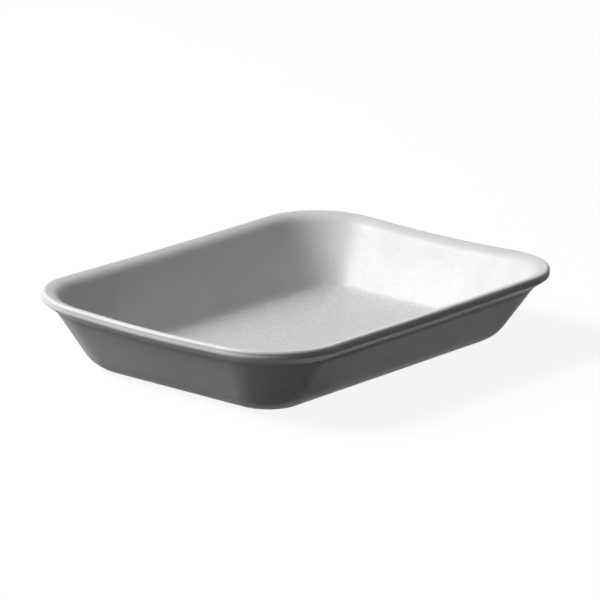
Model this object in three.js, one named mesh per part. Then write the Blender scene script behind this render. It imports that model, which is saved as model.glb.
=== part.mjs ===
// A shallow foam food tray, pressed as one piece from a sheet of foamed polystyrene.
// Millimetres, +Z up. The origin is the middle of the flat underside.
//
// The section of its wall is drawn once, as inset from the rim's edge against height,
// and carried round a rounded rectangle that gets smaller as the section steps in.

import * as THREE from "three";

// Plan, over the rim
const RIM_LENGTH = 209.5;
const RIM_WIDTH = 146;
const RIM_CORNER_RADIUS = 33;
const BASE_CORNER_RADIUS = 10.3;

// Heights above the table, and the drop of the crease below the rim's top
const TRAY_HEIGHT = 34;
const CREASE_DROP = 7.5;

// Thickness of the pressed foam. The wall is this thick at the crease and thins towards the base.
const FLOOR_THICKNESS = 4.5;
const WALL_THICKNESS = 3.9;
const RIM_THICKNESS = 3.3;

// Lean of the wall's two faces from upright, and how far the crease lies in from the rim's edge
const OUTER_LEAN = THREE.MathUtils.degToRad(31.7);
const INNER_LEAN = THREE.MathUtils.degToRad(29.7);
const CREASE_INSET = 5.2;

// Slope of the rim's top, which falls from its outer edge towards the inside
const RIM_TOP_SLOPE = THREE.MathUtils.degToRad(16);

// Radii of the bends in the section
const BASE_OUTER_RADIUS = 16.3;
const BASE_INNER_RADIUS = 5;
const SHOULDER_RADIUS = 7;
const RIM_TOP_RADIUS = 1.35;
const RIM_UNDERSIDE_RADIUS = 0.5;

// The line that the tool pressed into the crease
const CREASE_LINE_WIDTH = 0.8;
const CREASE_LINE_DEPTH = 0.25;

// The parting groove, pressed round the middle of the rim's edge
const GROOVE_WIDTH = 0.5;
const GROOVE_DEPTH = 0.18;

// How far the rim hangs at the middle of a side, below its corners
const RIM_SAG_LONG_SIDE = 0.5;
const RIM_SAG_SHORT_SIDE = 1.6;
// A sag keeps to its own side: the power of the share of the way out to that side
const SAG_SIDE_POWER = 6;

// Fineness of the faces
const BEND_STEP = THREE.MathUtils.degToRad(9.5);
const CORNER_STEPS = 14;
const LONG_SIDE_STEPS = 12;
const SHORT_SIDE_STEPS = 10;

const FOAM_COLOUR = 0xf4f4f2;
const FOAM_ROUGHNESS = 0.62;

// The point where a line through a, at a lean from upright, reaches a height
function alongLean(a, lean, height) {
  return new THREE.Vector2(a.x - (height - a.y) * Math.tan(lean), height);
}

// How far a bend at a leaning wall's foot reaches along its legs
function footReach(radius, lean) {
  return radius * Math.tan((Math.PI / 2 - lean) / 2);
}

// How sharply the section turns at a corner, as the angle between its two legs' directions
function turnAt(corners, i) {
  const back = corners[i - 1].point.clone().sub(corners[i].point).normalize();
  const on = corners[i + 1].point.clone().sub(corners[i].point).normalize();
  return Math.PI - Math.acos(THREE.MathUtils.clamp(back.dot(on), -1, 1));
}

// How far each bend reaches along its legs. Two bends on a leg too short for both share it.
function bendReaches(corners) {
  const wanted = corners.map(({ radius }, i) => {
    return radius === 0 ? 0 : radius * Math.tan(turnAt(corners, i) / 2);
  });
  return corners.map(({ point }, i) => {
    const legs = [i - 1, i + 1].filter((j) => j in corners);
    const fits = legs.map((j) => {
      const leg = point.distanceTo(corners[j].point);
      return Math.min(1, leg / (wanted[i] + wanted[j]));
    });
    return wanted[i] === 0 ? 0 : wanted[i] * Math.min(...fits);
  });
}

// The arc that turns a corner of the section, as points
function bend(corners, i, reach) {
  const corner = corners[i].point;
  const back = corners[i - 1].point.clone().sub(corner).normalize();
  const on = corners[i + 1].point.clone().sub(corner).normalize();
  const turn = turnAt(corners, i);
  const radius = reach / Math.tan(turn / 2);
  const start = corner.clone().addScaledVector(back, reach);
  const end = corner.clone().addScaledVector(on, reach);
  const toCentre = back.clone().add(on).setLength(radius / Math.cos(turn / 2));
  const centre = corner.clone().add(toCentre);
  const startAngle = start.sub(centre).angle();
  const endAngle = end.sub(centre).angle();
  const clockwise = back.cross(on) > 0;
  const arc = new THREE.ArcCurve(centre.x, centre.y, radius, startAngle, endAngle, clockwise);
  return arc.getPoints(Math.ceil(turn / BEND_STEP));
}

// The corners of the wall's section, from the underside, over the rim and back to the floor.
// x is the inset from the rim's edge and y is the height.
function sectionCorners() {
  const crease = new THREE.Vector2(CREASE_INSET, TRAY_HEIGHT - CREASE_DROP);
  const rimCorner = new THREE.Vector2(0, TRAY_HEIGHT - RIM_THICKNESS);
  const outerFoot = alongLean(crease, OUTER_LEAN, 0);
  const acrossWall = new THREE.Vector2(Math.cos(INNER_LEAN), Math.sin(INNER_LEAN));
  const innerSkin = crease.clone().addScaledVector(acrossWall, WALL_THICKNESS);
  const innerFoot = alongLean(innerSkin, INNER_LEAN, FLOOR_THICKNESS);
  const rimTopReach = RIM_TOP_RADIUS * Math.tan((Math.PI / 2 + RIM_TOP_SLOPE) / 2);
  const rimTop = new THREE.Vector2(0, TRAY_HEIGHT - RIM_TOP_RADIUS + rimTopReach);
  const overRimTop = alongLean(innerSkin, INNER_LEAN, rimTop.y);
  const shoulderDrop = overRimTop.x / (1 / Math.tan(RIM_TOP_SLOPE) - Math.tan(INNER_LEAN));
  const shoulder = alongLean(innerSkin, INNER_LEAN, rimTop.y - shoulderDrop);
  const halfLine = CREASE_LINE_WIDTH / 2;
  const toFoot = outerFoot.clone().sub(crease).normalize();
  const toRim = rimCorner.clone().sub(crease).normalize();
  const lineStart = crease.clone().addScaledVector(toFoot, halfLine);
  const lineBottom = crease.clone().addScaledVector(acrossWall, CREASE_LINE_DEPTH);
  const lineEnd = crease.clone().addScaledVector(toRim, halfLine);
  const grooveMiddle = TRAY_HEIGHT - RIM_THICKNESS / 2;
  const at = (x, y, radius = 0) => ({ point: new THREE.Vector2(x, y), radius });
  return [
    at(outerFoot.x + 2 * footReach(BASE_OUTER_RADIUS, OUTER_LEAN), 0),
    at(outerFoot.x, 0, BASE_OUTER_RADIUS),
    at(lineStart.x, lineStart.y),
    at(lineBottom.x, lineBottom.y),
    at(lineEnd.x, lineEnd.y),
    at(rimCorner.x, rimCorner.y, RIM_UNDERSIDE_RADIUS),
    at(0, grooveMiddle - GROOVE_WIDTH / 2),
    at(GROOVE_DEPTH, grooveMiddle),
    at(0, grooveMiddle + GROOVE_WIDTH / 2),
    at(rimTop.x, rimTop.y, RIM_TOP_RADIUS),
    at(shoulder.x, shoulder.y, SHOULDER_RADIUS),
    at(innerFoot.x, innerFoot.y, BASE_INNER_RADIUS),
    at(innerFoot.x + 2 * footReach(BASE_INNER_RADIUS, INNER_LEAN), FLOOR_THICKNESS),
  ];
}

// The section as one line of points, with an arc at each corner that has a radius
function wallSection() {
  const corners = sectionCorners();
  const reaches = bendReaches(corners);
  const last = corners.length - 1;
  return corners.flatMap(({ point }, i) => {
    if (i === 0 || i === last) return [];
    return reaches[i] === 0 ? [point] : bend(corners, i, reaches[i]);
  });
}

// The rounded rectangle at one inset, as points counted round from the +X side
function planRing(inset, cornerRadius) {
  const x = RIM_LENGTH / 2 - inset - cornerRadius;
  const y = RIM_WIDTH / 2 - inset - cornerRadius;
  const quarter = Math.PI / 2;
  const centres = [
    new THREE.Vector2(x, y),
    new THREE.Vector2(-x, y),
    new THREE.Vector2(-x, -y),
    new THREE.Vector2(x, -y),
  ];
  return centres.flatMap((centre, i) => {
    const from = i * quarter;
    const corner = new THREE.ArcCurve(centre.x, centre.y, cornerRadius, from, from + quarter);
    const sideStart = corner.getPoint(1);
    const sideEnd = centres[(i + 1) % 4].clone().add(sideStart).sub(centre);
    const side = new THREE.LineCurve(sideStart, sideEnd);
    const sideSteps = i % 2 === 0 ? LONG_SIDE_STEPS : SHORT_SIDE_STEPS;
    return [...corner.getPoints(CORNER_STEPS), ...side.getPoints(sideSteps).slice(1, -1)];
  });
}

// How far a point of the rim hangs, from its place as a share of the ring's half length and width
function rimSag(alongX, alongY) {
  const bell = (share) => Math.cos((share * Math.PI) / 2) ** 2;
  const sideShare = (share) => Math.abs(share) ** SAG_SIDE_POWER;
  const longSide = RIM_SAG_LONG_SIDE * bell(alongX) * sideShare(alongY);
  const shortSide = RIM_SAG_SHORT_SIDE * bell(alongY) * sideShare(alongX);
  return longSide + shortSide;
}

// One ring of the tray's skin, at a point of the section
function skinRing(section, deepestInset) {
  const { x: inset, y: height } = section;
  const radius = THREE.MathUtils.lerp(RIM_CORNER_RADIUS, BASE_CORNER_RADIUS, inset / deepestInset);
  const sagShare = THREE.MathUtils.smoothstep(height, FLOOR_THICKNESS, TRAY_HEIGHT);
  return planRing(inset, radius).map((plan) => {
    const alongX = plan.x / (RIM_LENGTH / 2 - inset);
    const alongY = plan.y / (RIM_WIDTH / 2 - inset);
    return new THREE.Vector3(plan.x, plan.y, height - sagShare * rimSag(alongX, alongY));
  });
}

// The closed skin: the section's rings joined in order, with a flat underside and a flat floor
function trayGeometry() {
  const section = wallSection();
  const deepestInset = Math.max(...section.map((point) => point.x));
  const rings = section.map((point) => skinRing(point, deepestInset));
  const count = rings[0].length;
  const positions = rings.flat();
  const faces = [];
  for (let ring = 0; ring + 1 < rings.length; ring += 1) {
    for (let i = 0; i < count; i += 1) {
      const here = ring * count + i;
      const next = ring * count + ((i + 1) % count);
      faces.push(here, next, next + count);
      faces.push(here, next + count, here + count);
    }
  }
  const topStart = (rings.length - 1) * count;
  const undersideCentre = positions.push(new THREE.Vector3(0, 0, 0)) - 1;
  const floorCentre = positions.push(new THREE.Vector3(0, 0, FLOOR_THICKNESS)) - 1;
  for (let i = 0; i < count; i += 1) {
    const next = (i + 1) % count;
    faces.push(undersideCentre, next, i);
    faces.push(floorCentre, topStart + i, topStart + next);
  }
  const geometry = new THREE.BufferGeometry().setFromPoints(positions);
  geometry.setIndex(faces);
  geometry.computeVertexNormals();
  return geometry;
}

const foam = new THREE.MeshStandardMaterial({
  color: FOAM_COLOUR,
  roughness: FOAM_ROUGHNESS,
  metalness: 0,
});

const tray = new THREE.Mesh(trayGeometry(), foam);
tray.name = "tray";

const group = new THREE.Group();
group.add(tray);

export default group;
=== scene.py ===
import math

import bmesh
import bpy
from mathutils import Matrix, Vector


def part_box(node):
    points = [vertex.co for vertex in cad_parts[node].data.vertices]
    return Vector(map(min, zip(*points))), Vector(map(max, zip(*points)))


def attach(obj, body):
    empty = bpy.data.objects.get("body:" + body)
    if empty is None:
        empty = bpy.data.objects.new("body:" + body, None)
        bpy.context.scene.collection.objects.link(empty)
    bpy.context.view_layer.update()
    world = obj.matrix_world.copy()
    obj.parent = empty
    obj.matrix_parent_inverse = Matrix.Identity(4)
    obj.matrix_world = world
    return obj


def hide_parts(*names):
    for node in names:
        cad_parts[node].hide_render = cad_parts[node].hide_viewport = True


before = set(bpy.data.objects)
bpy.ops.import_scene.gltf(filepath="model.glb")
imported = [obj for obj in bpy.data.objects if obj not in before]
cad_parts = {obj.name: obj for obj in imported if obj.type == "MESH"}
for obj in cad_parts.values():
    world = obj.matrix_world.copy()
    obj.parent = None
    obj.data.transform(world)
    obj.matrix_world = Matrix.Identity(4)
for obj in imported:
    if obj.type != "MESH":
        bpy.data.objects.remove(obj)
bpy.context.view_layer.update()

MM = 0.001

# The tray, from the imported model, drawn a hair smaller so that it stays inside it
SKIN_MARGIN = 0.01 * MM
lowest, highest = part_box("tray")
HALF_LENGTH = highest[0] - SKIN_MARGIN
HALF_WIDTH = highest[1] - SKIN_MARGIN

# Sizes of the pressed sheet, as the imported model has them
TRAY_HEIGHT = 34 * MM - SKIN_MARGIN
RIM_CORNER_RADIUS = 33 * MM
BASE_CORNER_RADIUS = 10.3 * MM
CREASE_DROP = 7.5 * MM
CREASE_INSET = 5.2 * MM
OUTER_LEAN = math.radians(31.7)
INNER_LEAN = math.radians(29.7)
FLOOR_THICKNESS = 4.5 * MM
WALL_THICKNESS = 3.9 * MM
RIM_THICKNESS = 3.3 * MM
BASE_OUTER_RADIUS = 16.3 * MM
BASE_INNER_RADIUS = 5 * MM
SHOULDER_RADIUS = 7 * MM
RIM_TOP_SLOPE = math.radians(16)
RIM_TOP_RADIUS = 1.35 * MM
RIM_UNDERSIDE_RADIUS = 0.5 * MM
CREASE_LINE_WIDTH = 0.8 * MM
CREASE_LINE_DEPTH = 0.25 * MM
GROOVE_WIDTH = 0.5 * MM
GROOVE_DEPTH = 0.18 * MM
RIM_SAG_LONG_SIDE = 0.5 * MM
RIM_SAG_SHORT_SIDE = 1.6 * MM
SAG_SIDE_POWER = 6

# Fineness of the mesh
BEND_STEP = math.radians(5)
LEG_STEP = 3.2 * MM
CORNER_STEPS = 30
LONG_SIDE_STEPS = 24
SHORT_SIDE_STEPS = 16
FLAT_BORDER = 1.5 * MM
CLOSE = 0.001 * MM

# The foam's skin: its colour where it is densest and where its cells are fullest
FOAM_DARK = (0.65, 0.65, 0.645)
FOAM_LIGHT = (0.77, 0.77, 0.765)
CELL_SIZE = 0.75 * MM
CELL_DEPTH = 0.03 * MM
MOTTLE_SIZE = 1.2 * MM
MOTTLE_DEPTH = 0.09 * MM
SPECKLE_SIZE = 0.7 * MM
CLOUD_SIZE = 22 * MM
SHEEN_SIZE = 2.4 * MM
SMOOTHEST = 0.36
ROUGHEST = 0.44
SHINE = 0.34
LIGHT_SCATTER = 2.2 * MM
FLOOR_FADE = 3 * MM

# The camera that took the photograph
VIEW_AZIMUTH = math.radians(-53.08)
VIEW_ELEVATION = math.radians(15.97)
VIEW_ROLL = math.radians(2.22)
VIEW_DISTANCE = 2.069
PIXELS = 600
FOCAL_PIXELS = 4846
PIXELS_PER_METRE = FOCAL_PIXELS / VIEW_DISTANCE
SENSOR_WIDTH = 36.0
VIEW_TARGET = Vector((0, 0, 17.84 * MM))
TARGET_RIGHT_OF_CENTRE = -1.66
TARGET_BELOW_CENTRE = 13.2

# The studio: one large softbox high on the camera's left, a dim even room and a paper floor
KEY_AZIMUTH = -138
KEY_ELEVATION = 42
KEY_DISTANCE = 1.8
KEY_SIZE = 1.0
KEY_POWER = 40
ROOM_LIGHT = 0.035
PAPER_BOUNCE = 0.1
PAPER_GLOW = 0.9
PAPER_SHADOW = 0.15
FLOOR_HALF_SIZE = 6.0
FLOOR_GAP = 0.1 * MM


# The section of the wall

def along_lean(start, lean, height):
    """The point (inset, height) where a line through start, at a lean from upright, reaches a height."""
    return Vector((start.x - (height - start.y) * math.tan(lean), height))


def foot_reach(radius, lean):
    """How far a bend at a leaning wall's foot reaches along its legs."""
    return radius * math.tan((math.pi / 2 - lean) / 2)


def section_corners():
    """Corners of the wall's section in order, each with its point in the XZ plane and its radius."""
    crease = Vector((CREASE_INSET, TRAY_HEIGHT - CREASE_DROP))
    rim_corner = Vector((0, TRAY_HEIGHT - RIM_THICKNESS))
    outer_foot = along_lean(crease, OUTER_LEAN, 0)
    across_wall = Vector((math.cos(INNER_LEAN), math.sin(INNER_LEAN)))
    inner_skin = crease + across_wall * WALL_THICKNESS
    inner_foot = along_lean(inner_skin, INNER_LEAN, FLOOR_THICKNESS)
    top_reach = RIM_TOP_RADIUS * math.tan((math.pi / 2 + RIM_TOP_SLOPE) / 2)
    rim_top = Vector((0, TRAY_HEIGHT - RIM_TOP_RADIUS + top_reach))
    over_rim_top = along_lean(inner_skin, INNER_LEAN, rim_top.y)
    shoulder_drop = over_rim_top.x / (1 / math.tan(RIM_TOP_SLOPE) - math.tan(INNER_LEAN))
    half_line = CREASE_LINE_WIDTH / 2
    groove = TRAY_HEIGHT - RIM_THICKNESS / 2
    corners = [
        (outer_foot + Vector((2 * foot_reach(BASE_OUTER_RADIUS, OUTER_LEAN), 0)), 0),
        (outer_foot, BASE_OUTER_RADIUS),
        (crease + (outer_foot - crease).normalized() * half_line, 0),
        (crease + across_wall * CREASE_LINE_DEPTH, 0),
        (crease + (rim_corner - crease).normalized() * half_line, 0),
        (rim_corner, RIM_UNDERSIDE_RADIUS),
        (Vector((0, groove - GROOVE_WIDTH / 2)), 0),
        (Vector((GROOVE_DEPTH, groove)), 0),
        (Vector((0, groove + GROOVE_WIDTH / 2)), 0),
        (rim_top, RIM_TOP_RADIUS),
        (along_lean(inner_skin, INNER_LEAN, rim_top.y - shoulder_drop), SHOULDER_RADIUS),
        (inner_foot, BASE_INNER_RADIUS),
        (inner_foot + Vector((2 * foot_reach(BASE_INNER_RADIUS, INNER_LEAN), 0)), 0),
    ]
    return [(Vector((HALF_LENGTH - point.x, 0, point.y)), radius) for point, radius in corners]


def turn_between(before, corner, after):
    """The angle that a line turns through at a corner."""
    return math.pi - (before - corner).angle(after - corner)


def run_straight(bm, tip, end):
    """Draws the section on from tip in a straight leg to end, in equal steps."""
    length = (end - tip.co).length
    if length < CLOSE:
        return tip
    steps = math.ceil(length / LEG_STEP)
    step = (end - tip.co) / steps
    for _ in range(steps):
        tip = bmesh.ops.extrude_vert_indiv(bm, verts=[tip])["verts"][0]
        bmesh.ops.translate(bm, verts=[tip], vec=step)
    return tip


def run_bend(bm, tip, before, corner, after, radius):
    """Turns the section round a corner on an arc, and returns the arc's last point."""
    turn = turn_between(before, corner, after)
    back = (before - corner).normalized()
    on = (after - corner).normalized()
    centre = corner + (back + on).normalized() * radius / math.cos(turn / 2)
    arc = bmesh.ops.spin(bm, geom=[tip], cent=centre, axis=on.cross(back), dvec=(0, 0, 0),
                         angle=turn, steps=math.ceil(turn / BEND_STEP), use_merge=False)
    return arc["geom_last"][0]


def draw_section(bm):
    """Draws the section as a line of edges, at the middle of the +X side."""
    corners = section_corners()
    start = corners[1][0] + Vector((-foot_reach(BASE_OUTER_RADIUS, OUTER_LEAN), 0, 0))
    tip = bm.verts.new(start)
    for (before, _), (corner, radius), (after, _) in zip(corners, corners[1:], corners[2:]):
        reach = radius * math.tan(turn_between(before, corner, after) / 2)
        tip = run_straight(bm, tip, corner.lerp(before, reach / (before - corner).length))
        if radius:
            tip = run_bend(bm, tip, before, corner, after, radius)


# The tray's shell

def pull(bm, edges, way, steps):
    """Sweeps edges along a straight way and returns the edges at its end."""
    for _ in range(steps):
        made = bmesh.ops.extrude_edge_only(bm, edges=edges)["geom"]
        verts = [part for part in made if isinstance(part, bmesh.types.BMVert)]
        starts = {edge for vert in verts for edge in vert.link_edges}
        edges = [edge for edge in starts if all(end in verts for end in edge.verts)]
        bmesh.ops.translate(bm, verts=verts, vec=way / steps)
    return edges


def sweep_quarter(bm):
    """Carries the section from the middle of the +X side, round a corner, to the +Y side's middle."""
    straight_y = HALF_WIDTH - RIM_CORNER_RADIUS
    straight_x = HALF_LENGTH - RIM_CORNER_RADIUS
    edges = pull(bm, list(bm.edges), Vector((0, straight_y, 0)), SHORT_SIDE_STEPS)
    verts = list({vert for edge in edges for vert in edge.verts})
    corner = bmesh.ops.spin(bm, geom=verts + edges, cent=(straight_x, straight_y, 0), axis=(0, 0, 1),
                            dvec=(0, 0, 0), angle=math.pi / 2, steps=CORNER_STEPS, use_merge=False)
    edges = [part for part in corner["geom_last"] if isinstance(part, bmesh.types.BMEdge)]
    pull(bm, edges, Vector((-straight_x, 0, 0)), LONG_SIDE_STEPS)


def corner_lag():
    """How much slower the corner's radius shrinks than the section steps in."""
    crease_height = TRAY_HEIGHT - CREASE_DROP
    outer_foot = CREASE_INSET + crease_height * math.tan(OUTER_LEAN)
    deepest = outer_foot + foot_reach(BASE_OUTER_RADIUS, OUTER_LEAN)
    return 1 - (RIM_CORNER_RADIUS - BASE_CORNER_RADIUS) / deepest


def tighten_corner(vert, inset, lag):
    """Draws the corner in as the section steps in, from the rim's radius to the base's."""
    straight_x = HALF_LENGTH - RIM_CORNER_RADIUS
    straight_y = HALF_WIDTH - RIM_CORNER_RADIUS
    way = Vector((max(vert.co.x - straight_x, 0), max(vert.co.y - straight_y, 0))).normalized()
    if way.x > CLOSE:
        vert.co.y += lag * inset * (way.y - min(vert.co.y / straight_y, 1))
    if way.y > CLOSE:
        vert.co.x += lag * inset * (way.x - min(vert.co.x / straight_x, 1))


def sag(vert, inset):
    """Lets the rim hang between its corners, more at the middle of the short sides."""
    along_x = vert.co.x / (HALF_LENGTH - inset)
    along_y = vert.co.y / (HALF_WIDTH - inset)
    long_side = RIM_SAG_LONG_SIDE * math.cos(along_x * math.pi / 2) ** 2 * along_y ** SAG_SIDE_POWER
    short_side = RIM_SAG_SHORT_SIDE * math.cos(along_y * math.pi / 2) ** 2 * along_x ** SAG_SIDE_POWER
    rise = (vert.co.z - FLOOR_THICKNESS) / (TRAY_HEIGHT - FLOOR_THICKNESS)
    rise = min(max(rise, 0), 1)
    vert.co.z -= rise * rise * (3 - 2 * rise) * (long_side + short_side)


def shape_quarter(bm):
    """Gives the quarter its tapering corner and the hang of its rim."""
    lag = corner_lag()
    for vert in bm.verts:
        x = max(vert.co.x - (HALF_LENGTH - RIM_CORNER_RADIUS), 0)
        y = max(vert.co.y - (HALF_WIDTH - RIM_CORNER_RADIUS), 0)
        inset = RIM_CORNER_RADIUS - math.hypot(x, y)
        tighten_corner(vert, inset, lag)
        sag(vert, inset)


def close_flats(bm):
    """Closes the underside and the floor, each with a narrow border so that its edge shades flat."""
    open_edges = [edge for edge in bm.edges if edge.is_boundary]
    flats = bmesh.ops.holes_fill(bm, edges=open_edges, sides=0)["faces"]
    bmesh.ops.inset_individual(bm, faces=flats, thickness=FLAT_BORDER, depth=0)


def make_tray():
    """The tray: a quarter of its shell, mirrored twice, with its underside and floor closed."""
    bm = bmesh.new()
    draw_section(bm)
    sweep_quarter(bm)
    shape_quarter(bm)
    for axis in "XY":
        bmesh.ops.mirror(bm, geom=bm.verts[:] + bm.edges[:] + bm.faces[:], matrix=Matrix(),
                         merge_dist=CLOSE, axis=axis)
    bmesh.ops.remove_doubles(bm, verts=bm.verts[:], dist=CLOSE)
    close_flats(bm)
    bmesh.ops.recalc_face_normals(bm, faces=bm.faces[:])
    for face in bm.faces:
        face.smooth = True
    mesh = bpy.data.meshes.new("foam_tray")
    bm.to_mesh(mesh)
    bm.free()
    tray = bpy.data.objects.new("foam_tray", mesh)
    bpy.context.scene.collection.objects.link(tray)
    return tray


# Materials

def new_material(name):
    """An empty node material, with its node tree, shader and Object coordinates."""
    material = bpy.data.materials.new(name)
    material.use_nodes = True
    tree = material.node_tree
    shader = tree.nodes["Principled BSDF"]
    place = tree.nodes.new("ShaderNodeTexCoord").outputs["Object"]
    return material, tree, shader, place


def grain(tree, place, size, detail, seed):
    """Noise with features of one size in metres."""
    noise = tree.nodes.new("ShaderNodeTexNoise")
    noise.noise_dimensions = "4D"
    noise.inputs["W"].default_value = seed
    noise.inputs["Scale"].default_value = 1 / size
    noise.inputs["Detail"].default_value = detail
    tree.links.new(place, noise.inputs["Vector"])
    return noise.outputs["Fac"]


def cells(tree, place, size):
    """Rounded foam cells of one size in metres, as the distance from each cell's middle."""
    voronoi = tree.nodes.new("ShaderNodeTexVoronoi")
    voronoi.feature = "SMOOTH_F1"
    voronoi.inputs["Scale"].default_value = 1 / size
    voronoi.inputs["Smoothness"].default_value = 0.6
    tree.links.new(place, voronoi.inputs["Vector"])
    return voronoi.outputs["Distance"]


def spread(tree, value, low, high, bottom=0.35, top=0.65):
    """Maps a value from bottom to top onto low to high."""
    spreader = tree.nodes.new("ShaderNodeMapRange")
    for name, number in (("From Min", bottom), ("From Max", top), ("To Min", low), ("To Max", high)):
        spreader.inputs[name].default_value = number
    tree.links.new(value, spreader.inputs["Value"])
    return spreader.outputs["Result"]


def shade_between(tree, value, dark, light):
    """A colour between dark and light, by a value from 0 to 1."""
    mix = tree.nodes.new("ShaderNodeMix")
    mix.data_type = "RGBA"
    mix.inputs["A"].default_value = (*dark, 1)
    mix.inputs["B"].default_value = (*light, 1)
    tree.links.new(value, mix.inputs["Factor"])
    return mix.outputs["Result"]


def raise_by(tree, value, depth, before=None):
    """A bump of one depth in metres, on top of an earlier one."""
    bump = tree.nodes.new("ShaderNodeBump")
    bump.inputs["Distance"].default_value = depth
    tree.links.new(value, bump.inputs["Height"])
    if before:
        tree.links.new(before, bump.inputs["Normal"])
    return bump.outputs["Normal"]


def on_floor(tree, place):
    """1 on the floor inside the tray and 0 up its walls, by height."""
    split = tree.nodes.new("ShaderNodeSeparateXYZ")
    tree.links.new(place, split.inputs["Vector"])
    return spread(tree, split.outputs["Z"], 1, 0, FLOOR_THICKNESS, FLOOR_THICKNESS + FLOOR_FADE)


def mixed(tree, value, low, high):
    """A number between two others, by a value from 0 to 1. Either one may be a node's output."""
    mix = tree.nodes.new("ShaderNodeMix")
    for name, number in (("A", low), ("B", high)):
        if isinstance(number, (int, float)):
            mix.inputs[name].default_value = number
        else:
            tree.links.new(number, mix.inputs[name])
    tree.links.new(value, mix.inputs["Factor"])
    return mix.outputs["Result"]


def foam_skin():
    """The pressed skin: near-white, satin, with fine closed cells and a mottle, clearest on the floor."""
    material, tree, shader, place = new_material("foam_skin")
    floor = on_floor(tree, place)
    mottle = grain(tree, place, MOTTLE_SIZE, detail=3, seed=1)
    speckle = grain(tree, place, SPECKLE_SIZE, detail=1, seed=4)
    clouds = grain(tree, place, CLOUD_SIZE, detail=2, seed=2)
    gloss = grain(tree, place, SHEEN_SIZE, detail=2, seed=3)
    tone = mixed(tree, floor, spread(tree, clouds, 0.55, 0.9), spread(tree, mottle, 0, 1))
    tone = mixed(tree, spread(tree, speckle, 0, 0.3), tone, clouds)
    colour = shade_between(tree, tone, FOAM_DARK, FOAM_LIGHT)
    tree.links.new(colour, shader.inputs["Base Color"])
    tree.links.new(spread(tree, gloss, SMOOTHEST, ROUGHEST), shader.inputs["Roughness"])
    shader.inputs["Specular IOR Level"].default_value = SHINE
    shader.inputs["Subsurface Weight"].default_value = 1
    shader.inputs["Subsurface Radius"].default_value = (1, 1, 1)
    shader.inputs["Subsurface Scale"].default_value = LIGHT_SCATTER
    relief = raise_by(tree, cells(tree, place, CELL_SIZE), CELL_DEPTH)
    coarse = mixed(tree, floor, spread(tree, mottle, 0.35, 0.65), spread(tree, mottle, 0, 1))
    relief = raise_by(tree, coarse, MOTTLE_DEPTH, relief)
    tree.links.new(relief, shader.inputs["Normal"])
    return material


# The stage

def shown_rays(tree):
    """1 for rays that show what is behind the object: camera, glossy and transmission rays."""
    path = tree.nodes.new("ShaderNodeLightPath")
    total = path.outputs["Is Camera Ray"]
    for name in ("Is Glossy Ray", "Is Transmission Ray"):
        add = tree.nodes.new("ShaderNodeMath")
        add.operation = "MAXIMUM"
        tree.links.new(total, add.inputs[0])
        tree.links.new(path.outputs[name], add.inputs[1])
        total = add.outputs[0]
    return total


def make_world():
    """A dim even room that the camera and the sheen see as white."""
    world = bpy.data.worlds.new("studio")
    world.use_nodes = True
    tree = world.node_tree
    lit = tree.nodes["Background"]
    lit.inputs["Color"].default_value = (1, 1, 1, 1)
    lit.inputs["Strength"].default_value = ROOM_LIGHT
    shown = tree.nodes.new("ShaderNodeBackground")
    shown.inputs["Strength"].default_value = 1
    mix = tree.nodes.new("ShaderNodeMixShader")
    tree.links.new(shown_rays(tree), mix.inputs["Fac"])
    tree.links.new(lit.outputs[0], mix.inputs[1])
    tree.links.new(shown.outputs[0], mix.inputs[2])
    tree.links.new(mix.outputs[0], tree.nodes["World Output"].inputs["Surface"])
    bpy.context.scene.world = world


def paper():
    """White studio paper: plain pale where it is seen, with the object's shadow kept."""
    material, tree, shader, _ = new_material("studio_paper")
    shader.inputs["Base Color"].default_value = (PAPER_BOUNCE, PAPER_BOUNCE, PAPER_BOUNCE, 1)
    shader.inputs["Roughness"].default_value = 1
    shader.inputs["Specular IOR Level"].default_value = 0
    glow = tree.nodes.new("ShaderNodeEmission")
    glow.inputs["Strength"].default_value = PAPER_GLOW
    seen = tree.nodes.new("ShaderNodeAddShader")
    soft = tree.nodes.new("ShaderNodeBsdfDiffuse")
    soft.inputs["Color"].default_value = (PAPER_SHADOW, PAPER_SHADOW, PAPER_SHADOW, 1)
    tree.links.new(glow.outputs[0], seen.inputs[0])
    tree.links.new(soft.outputs[0], seen.inputs[1])
    mix = tree.nodes.new("ShaderNodeMixShader")
    tree.links.new(shown_rays(tree), mix.inputs["Fac"])
    tree.links.new(shader.outputs[0], mix.inputs[1])
    tree.links.new(seen.outputs[0], mix.inputs[2])
    tree.links.new(mix.outputs[0], tree.nodes["Material Output"].inputs["Surface"])
    return material


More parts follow.
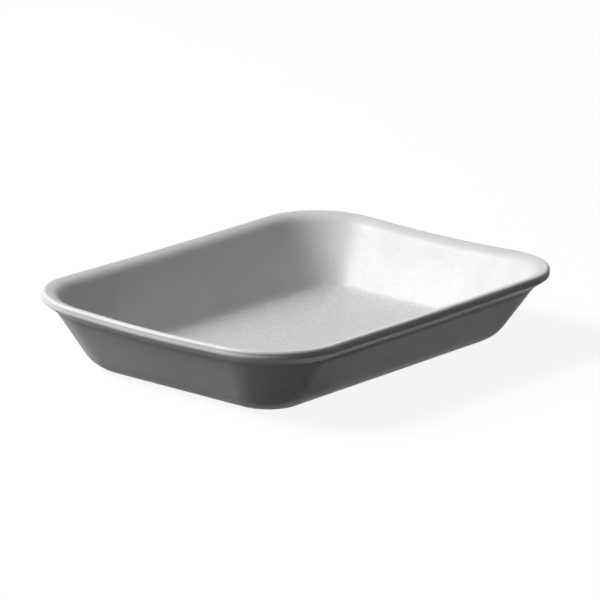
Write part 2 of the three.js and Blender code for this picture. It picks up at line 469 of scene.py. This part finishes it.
def make_floor():
    """The sheet of studio paper that the tray stands on."""
    bm = bmesh.new()
    bmesh.ops.create_grid(bm, x_segments=1, y_segments=1, size=FLOOR_HALF_SIZE)
    bmesh.ops.translate(bm, verts=bm.verts[:], vec=(0, 0, -FLOOR_GAP))
    mesh = bpy.data.meshes.new("paper_floor")
    bm.to_mesh(mesh)
    bm.free()
    mesh.materials.append(paper())
    floor = bpy.data.objects.new("paper_floor", mesh)
    bpy.context.scene.collection.objects.link(floor)


def direction(azimuth, elevation):
    """The way from the object towards an azimuth and elevation, azimuth 0 being towards -Y."""
    level = math.cos(elevation)
    return Vector((math.sin(azimuth) * level, -math.cos(azimuth) * level, math.sin(elevation)))


def make_softbox(name, azimuth, elevation, distance, size, power):
    """A square softbox at an azimuth and elevation in degrees, turned to the tray."""
    light = bpy.data.lights.new(name, "AREA")
    light.shape = "SQUARE"
    light.size = size
    light.energy = power
    softbox = bpy.data.objects.new(name, light)
    way = direction(math.radians(azimuth), math.radians(elevation))
    softbox.location = way * distance
    softbox.rotation_euler = way.to_track_quat("Z", "Y").to_euler()
    bpy.context.scene.collection.objects.link(softbox)


def make_camera():
    """The camera, aimed so that the target lies where the photograph has it."""
    back = direction(VIEW_AZIMUTH, VIEW_ELEVATION)
    turned = back.to_track_quat("Z", "Y").to_matrix() @ Matrix.Rotation(VIEW_ROLL, 3, "Z")
    right = turned.col[0]
    up = turned.col[1]
    aim = VIEW_TARGET + (up * TARGET_BELOW_CENTRE - right * TARGET_RIGHT_OF_CENTRE) / PIXELS_PER_METRE
    place = VIEW_TARGET + back * VIEW_DISTANCE
    look = (place - aim).normalized()
    data = bpy.data.cameras.new("photograph")
    data.sensor_width = SENSOR_WIDTH
    data.lens = FOCAL_PIXELS / PIXELS * SENSOR_WIDTH
    camera = bpy.data.objects.new("photograph", data)
    frame_turn = look.to_track_quat("Z", "Y").to_matrix() @ Matrix.Rotation(VIEW_ROLL, 3, "Z")
    camera.rotation_euler = frame_turn.to_euler()
    camera.location = place
    bpy.context.scene.collection.objects.link(camera)
    bpy.context.scene.camera = camera


tray = make_tray()
tray.data.materials.append(foam_skin())
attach(tray, "root")
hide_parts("tray")

make_world()
make_floor()
make_softbox("key_softbox", KEY_AZIMUTH, KEY_ELEVATION, KEY_DISTANCE, KEY_SIZE, KEY_POWER)
make_camera()
bpy.context.scene.view_settings.view_transform = "Standard"
